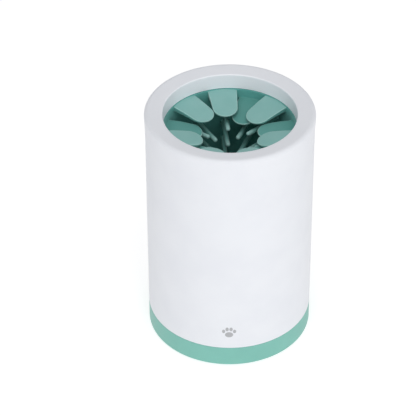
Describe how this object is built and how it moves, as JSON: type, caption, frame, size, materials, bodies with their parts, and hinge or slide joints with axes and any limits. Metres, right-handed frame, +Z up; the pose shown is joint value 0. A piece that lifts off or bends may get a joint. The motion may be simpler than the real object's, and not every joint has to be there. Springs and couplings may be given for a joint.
{
  "type": "paw washer cup",
  "caption": "Upright double-walled cup with a screwed base and a soft lining of petals and bristle pins that brush a pet's paw clean.",
  "frame": {"origin": "centre of the bottom, on the surface the cup stands on", "axes": "+Z up along the cup's axis, the front facing -Y"},
  "size_m": [0.088, 0.088, 0.1345],
  "materials": {
    "shell_white": "satin moulded polypropylene",
    "sleeve_white": "matt moulded polypropylene",
    "liner_silicone": "matt moulded silicone",
    "petal_silicone": "matt moulded silicone",
    "bristle_silicone": "matt moulded silicone",
    "base_teal": "satin moulded plastic",
    "gasket_silicone": "translucent silicone",
    "foot_rubber": "matt soft rubber"
  },
  "bodies": {
    "base": {"base_cap": "base_teal", "foot_ring": "foot_rubber"},
    "gasket": {"base_gasket": "gasket_silicone"},
    "cup": {"outer_shell": "shell_white", "inner_sleeve": "sleeve_white", "brush_liner": "liner_silicone", "bristle_row_01": "bristle_silicone", "bristle_row_02": "bristle_silicone", "bristle_row_03": "bristle_silicone", "bristle_row_04": "bristle_silicone", "bristle_row_05": "bristle_silicone", "bristle_row_06": "bristle_silicone", "bristle_row_07": "bristle_silicone", "bristle_row_08": "bristle_silicone", "bristle_row_09": "bristle_silicone", "bristle_row_10": "bristle_silicone", "bristle_row_11": "bristle_silicone", "bristle_row_12": "bristle_silicone", "bristle_row_13": "bristle_silicone", "bristle_row_14": "bristle_silicone", "bristle_row_15": "bristle_silicone", "bristle_row_16": "bristle_silicone", "bristle_row_17": "bristle_silicone", "bristle_row_18": "bristle_silicone", "bristle_row_19": "bristle_silicone"},
    "upper_petal_1": {"upper_petal_1": "petal_silicone"},
    "upper_petal_2": {"upper_petal_2": "petal_silicone"},
    "upper_petal_3": {"upper_petal_3": "petal_silicone"},
    "upper_petal_4": {"upper_petal_4": "petal_silicone"},
    "upper_petal_5": {"upper_petal_5": "petal_silicone"},
    "upper_petal_6": {"upper_petal_6": "petal_silicone"},
    "upper_petal_7": {"upper_petal_7": "petal_silicone"},
    "lower_petal_1": {"lower_petal_1": "petal_silicone"},
    "lower_petal_2": {"lower_petal_2": "petal_silicone"},
    "lower_petal_3": {"lower_petal_3": "petal_silicone"},
    "lower_petal_4": {"lower_petal_4": "petal_silicone"},
    "lower_petal_5": {"lower_petal_5": "petal_silicone"},
    "lower_petal_6": {"lower_petal_6": "petal_silicone"}
  },
  "joints": [
    {"name": "base_screw_lift", "type": "slide", "parent": "base", "child": "gasket", "axis": [0, 0, 1], "range_m": [0, 0.006]},
    {"name": "base_screw_turn", "type": "hinge", "parent": "gasket", "child": "cup", "pos_m": [0, 0, 0], "axis": [0, 0, 1], "range_deg": [0, 540]},
    {"name": "upper_petal_1_bend", "type": "hinge", "parent": "cup", "child": "upper_petal_1", "pos_m": [0.02268, 0.02268, 0.1226], "axis": [0.7071, -0.7071, 0], "range_deg": [-30, 30], "stiffness_Nm_per_rad": 0.01, "deforming": ["bristle_row_01", "bristle_row_02", "bristle_row_03"]},
    {"name": "upper_petal_2_bend", "type": "hinge", "parent": "cup", "child": "upper_petal_2", "pos_m": [-0.00391, 0.03184, 0.1226], "axis": [0.9925, 0.1219, 0], "range_deg": [-30, 30], "stiffness_Nm_per_rad": 0.01},
    {"name": "upper_petal_3_bend", "type": "hinge", "parent": "cup", "child": "upper_petal_3", "pos_m": [-0.02268, 0.02268, 0.1226], "axis": [0.7071, 0.7071, 0], "range_deg": [-30, 30], "stiffness_Nm_per_rad": 0.01},
    {"name": "upper_petal_4_bend", "type": "hinge", "parent": "cup", "child": "upper_petal_4", "pos_m": [-0.03067, -0.00938, 0.1226], "axis": [-0.2924, 0.9563, 0], "range_deg": [-30, 30], "stiffness_Nm_per_rad": 0.01},
    {"name": "upper_petal_5_bend", "type": "hinge", "parent": "cup", "child": "upper_petal_5", "pos_m": [-0.01406, -0.02883, 0.1226], "axis": [-0.8988, 0.4384, 0], "range_deg": [-30, 30], "stiffness_Nm_per_rad": 0.01},
    {"name": "upper_petal_6_bend", "type": "hinge", "parent": "cup", "child": "upper_petal_6", "pos_m": [0.01456, -0.02858, 0.1226], "axis": [-0.891, -0.454, 0], "range_deg": [-30, 30], "stiffness_Nm_per_rad": 0.01},
    {"name": "upper_petal_7_bend", "type": "hinge", "parent": "cup", "child": "upper_petal_7", "pos_m": [0.03083, -0.00884, 0.1226], "axis": [-0.2756, -0.9613, 0], "range_deg": [-30, 30], "stiffness_Nm_per_rad": 0.01},
    {"name": "lower_petal_1_bend", "type": "hinge", "parent": "cup", "child": "lower_petal_1", "pos_m": [0.01149, 0.02994, 0.1183], "axis": [0.9336, -0.3584, 0], "range_deg": [-30, 30], "stiffness_Nm_per_rad": 0.01},
    {"name": "lower_petal_2_bend", "type": "hinge", "parent": "cup", "child": "lower_petal_2", "pos_m": [-0.03159, 0.00557, 0.1183], "axis": [0.1736, 0.9848, 0], "range_deg": [-30, 30], "stiffness_Nm_per_rad": 0.01},
    {"name": "lower_petal_3_bend", "type": "hinge", "parent": "cup", "child": "lower_petal_3", "pos_m": [-0.02421, -0.02104, 0.1183], "axis": [-0.6561, 0.7547, 0], "range_deg": [-30, 30], "stiffness_Nm_per_rad": 0.01},
    {"name": "lower_petal_4_bend", "type": "hinge", "parent": "cup", "child": "lower_petal_4", "pos_m": [0.00056, -0.03207, 0.1183], "axis": [-0.9998, -0.0175, 0], "range_deg": [-30, 30], "stiffness_Nm_per_rad": 0.01},
    {"name": "lower_petal_5_bend", "type": "hinge", "parent": "cup", "child": "lower_petal_5", "pos_m": [0.02493, -0.02019, 0.1183], "axis": [-0.6293, -0.7771, 0], "range_deg": [-30, 30], "stiffness_Nm_per_rad": 0.01},
    {"name": "lower_petal_6_bend", "type": "hinge", "parent": "cup", "child": "lower_petal_6", "pos_m": [0.03159, 0.00557, 0.1183], "axis": [0.1736, -0.9848, 0], "range_deg": [-30, 30], "stiffness_Nm_per_rad": 0.01}
  ],
  "couplings": [
    {"joint": "base_screw_lift", "follows": "base_screw_turn", "m_per_rad": 0.00063662},
    {"joint": "upper_petal_2_bend", "follows": "upper_petal_1_bend", "ratio": 1},
    {"joint": "upper_petal_3_bend", "follows": "upper_petal_1_bend", "ratio": 1},
    {"joint": "upper_petal_4_bend", "follows": "upper_petal_1_bend", "ratio": 1},
    {"joint": "upper_petal_5_bend", "follows": "upper_petal_1_bend", "ratio": 1},
    {"joint": "upper_petal_6_bend", "follows": "upper_petal_1_bend", "ratio": 1},
    {"joint": "upper_petal_7_bend", "follows": "upper_petal_1_bend", "ratio": 1},
    {"joint": "lower_petal_1_bend", "follows": "upper_petal_1_bend", "ratio": 1},
    {"joint": "lower_petal_2_bend", "follows": "upper_petal_1_bend", "ratio": 1},
    {"joint": "lower_petal_3_bend", "follows": "upper_petal_1_bend", "ratio": 1},
    {"joint": "lower_petal_4_bend", "follows": "upper_petal_1_bend", "ratio": 1},
    {"joint": "lower_petal_5_bend", "follows": "upper_petal_1_bend", "ratio": 1},
    {"joint": "lower_petal_6_bend", "follows": "upper_petal_1_bend", "ratio": 1}
  ]
}
